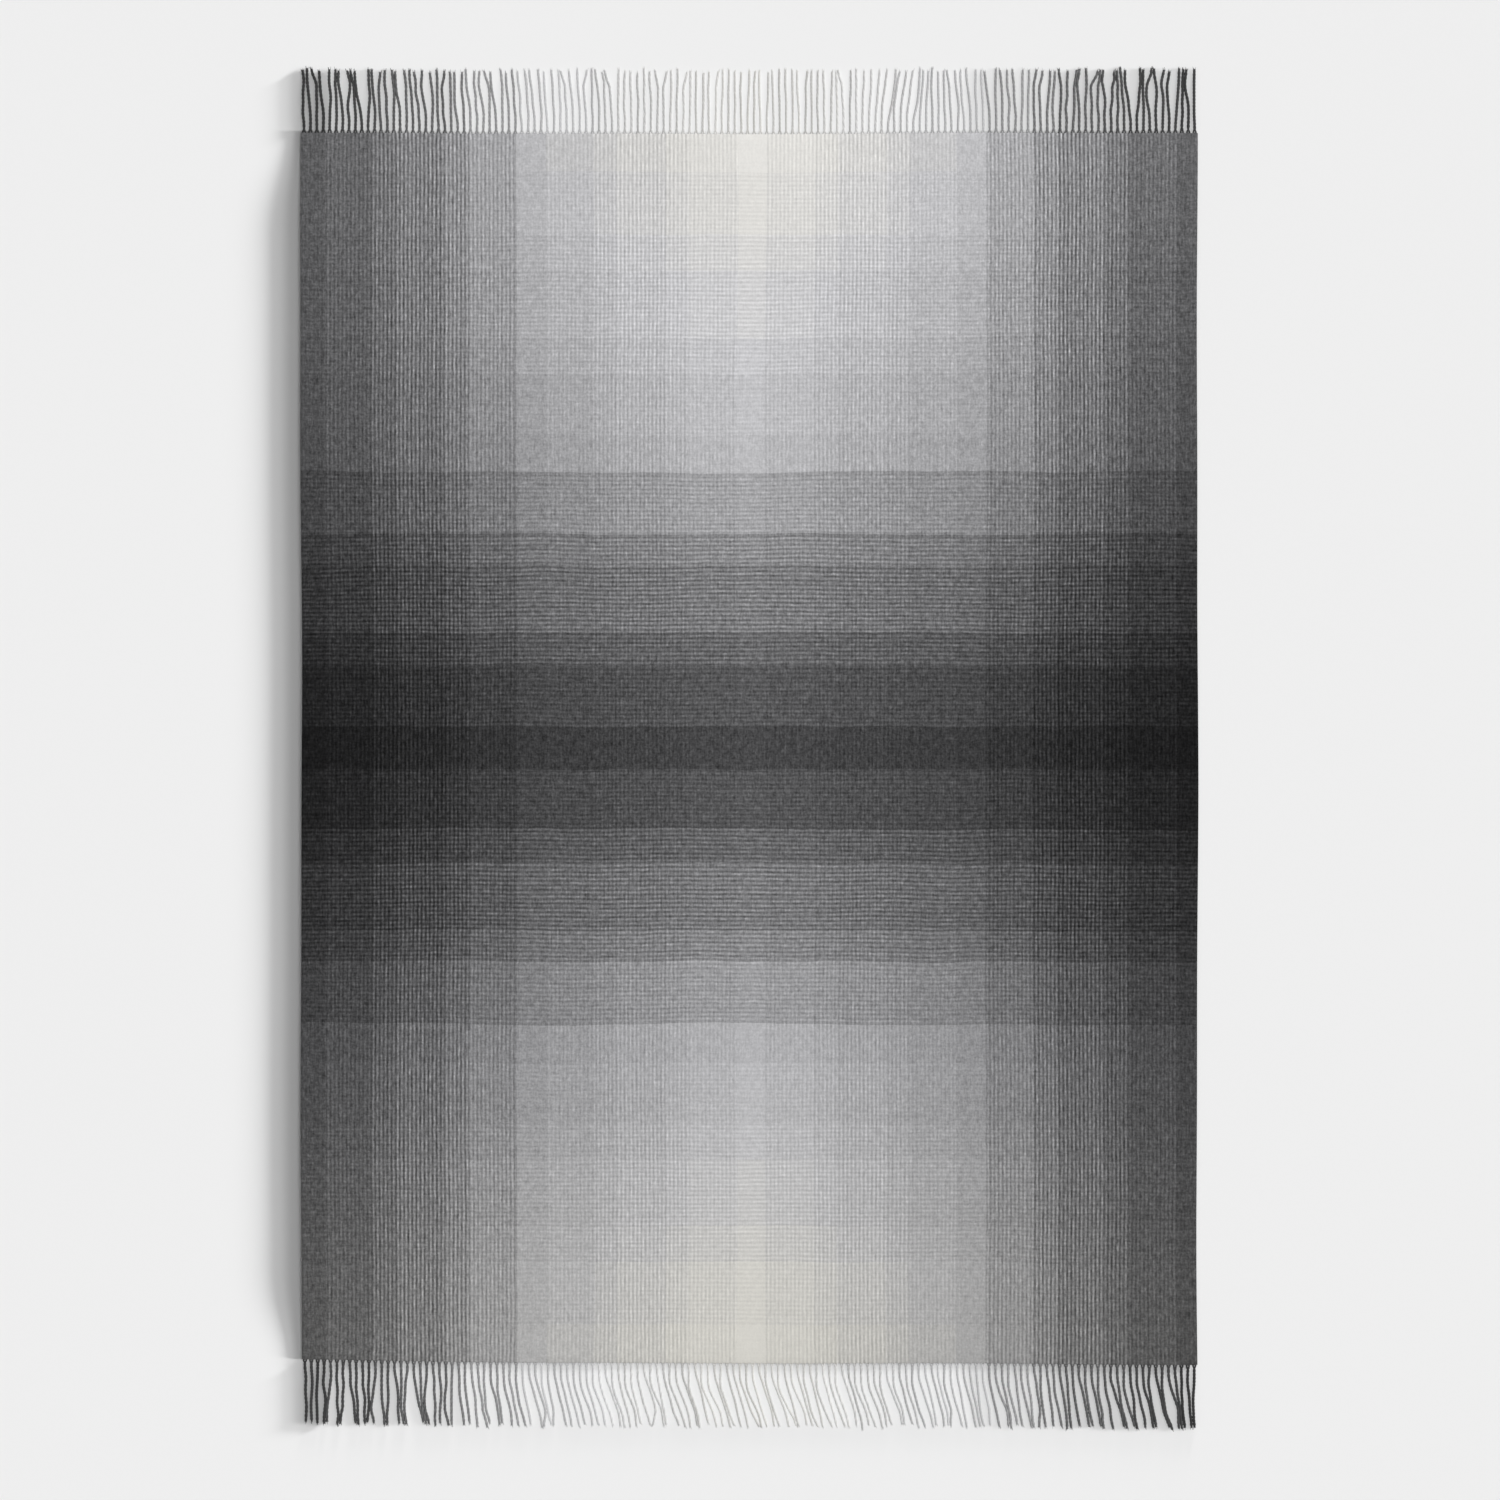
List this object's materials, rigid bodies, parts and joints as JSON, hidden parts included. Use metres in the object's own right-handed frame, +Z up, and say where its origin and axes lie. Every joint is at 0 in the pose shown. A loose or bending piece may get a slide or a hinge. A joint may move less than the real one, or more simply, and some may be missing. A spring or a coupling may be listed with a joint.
{
  "type": "throw blanket",
  "caption": "Flat woven throw blanket, graded stripes from charcoal to cream both ways, twisted tassel fringe at each end, folds in half across the middle.",
  "frame": {"origin": "on the floor under the middle of the cloth, halfway between the two fringes' tips", "axes": "+Z up from the floor, +Y along the warp towards the far fringe, +X across the width to the right"},
  "size_m": [1.3, 1.9646, 0.003],
  "materials": {
    "woven_cloth": "matte",
    "yarn_cream_and_ivory": "matte",
    "yarn_ivory": "matte",
    "yarn_ivory_and_pearl": "matte",
    "yarn_pearl": "matte",
    "yarn_pearl_and_silver": "matte",
    "yarn_silver": "matte",
    "yarn_silver_and_ash": "matte",
    "yarn_ash": "matte",
    "yarn_ash_and_slate": "matte",
    "yarn_slate": "matte",
    "yarn_slate_and_charcoal": "matte",
    "yarn_charcoal": "matte"
  },
  "bodies": {
    "near_half": {"woven_panel_near": "woven_cloth", "near_tassels_01": "yarn_charcoal", "near_tassels_02": "yarn_slate_and_charcoal", "near_tassels_03": "yarn_slate", "near_tassels_04": "yarn_ash_and_slate", "near_tassels_05": "yarn_ash", "near_tassels_06": "yarn_silver_and_ash", "near_tassels_07": "yarn_silver_and_ash", "near_tassels_08": "yarn_silver", "near_tassels_09": "yarn_pearl_and_silver", "near_tassels_10": "yarn_pearl", "near_tassels_11": "yarn_ivory_and_pearl", "near_tassels_12": "yarn_ivory", "near_tassels_13": "yarn_cream_and_ivory", "near_tassels_14": "yarn_cream_and_ivory", "near_tassels_15": "yarn_cream_and_ivory", "near_tassels_16": "yarn_cream_and_ivory", "near_tassels_17": "yarn_ivory", "near_tassels_18": "yarn_ivory_and_pearl", "near_tassels_19": "yarn_pearl", "near_tassels_20": "yarn_pearl_and_silver", "near_tassels_21": "yarn_silver", "near_tassels_22": "yarn_silver_and_ash", "near_tassels_23": "yarn_silver_and_ash", "near_tassels_24": "yarn_ash", "near_tassels_25": "yarn_ash_and_slate", "near_tassels_26": "yarn_slate", "near_tassels_27": "yarn_slate_and_charcoal", "near_tassels_28": "yarn_charcoal"},
    "far_half": {"woven_panel_far": "woven_cloth", "far_tassels_01": "yarn_charcoal", "far_tassels_02": "yarn_slate_and_charcoal", "far_tassels_03": "yarn_slate", "far_tassels_04": "yarn_ash_and_slate", "far_tassels_05": "yarn_ash", "far_tassels_06": "yarn_silver_and_ash", "far_tassels_07": "yarn_silver_and_ash", "far_tassels_08": "yarn_silver", "far_tassels_09": "yarn_pearl_and_silver", "far_tassels_10": "yarn_pearl", "far_tassels_11": "yarn_ivory_and_pearl", "far_tassels_12": "yarn_ivory", "far_tassels_13": "yarn_cream_and_ivory", "far_tassels_14": "yarn_cream_and_ivory", "far_tassels_15": "yarn_cream_and_ivory", "far_tassels_16": "yarn_cream_and_ivory", "far_tassels_17": "yarn_ivory", "far_tassels_18": "yarn_ivory_and_pearl", "far_tassels_19": "yarn_pearl", "far_tassels_20": "yarn_pearl_and_silver", "far_tassels_21": "yarn_silver", "far_tassels_22": "yarn_silver_and_ash", "far_tassels_23": "yarn_silver_and_ash", "far_tassels_24": "yarn_ash", "far_tassels_25": "yarn_ash_and_slate", "far_tassels_26": "yarn_slate", "far_tassels_27": "yarn_slate_and_charcoal", "far_tassels_28": "yarn_charcoal"}
  },
  "joints": [
    {"name": "mid_fold", "type": "hinge", "parent": "near_half", "child": "far_half", "pos_m": [0, 0, 0.006], "axis": [1, 0, 0], "range_deg": [0, 180]}
  ]
}
